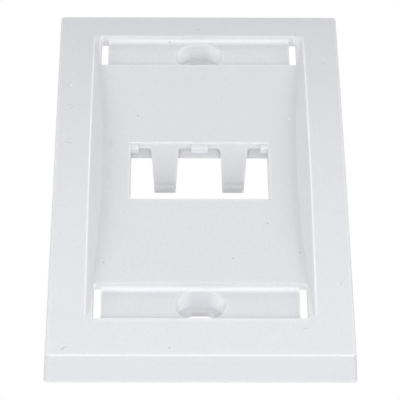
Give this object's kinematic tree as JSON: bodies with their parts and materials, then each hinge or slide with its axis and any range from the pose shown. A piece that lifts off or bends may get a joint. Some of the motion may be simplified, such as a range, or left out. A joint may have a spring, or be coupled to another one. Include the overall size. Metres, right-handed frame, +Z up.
{
  "type": "keystone faceplate",
  "caption": "One-piece single-gang wall plate with an arched frame, sunk panel, paired module opening with rear latch fingers, and label pockets over its screw holes.",
  "frame": {"origin": "middle of the back, on the wall plane, halfway between the two wall screws", "axes": "+Z up the wall along the plate's length, +X across it, front towards -Y, the wall on the +Y side"},
  "size_m": [0.0698, 0.0212, 0.1142],
  "materials": {
    "white_plastic": "fine matt moulded ABS, off-white"
  },
  "bodies": {
    "root": {"faceplate": "white_plastic"}
  },
  "joints": []
}
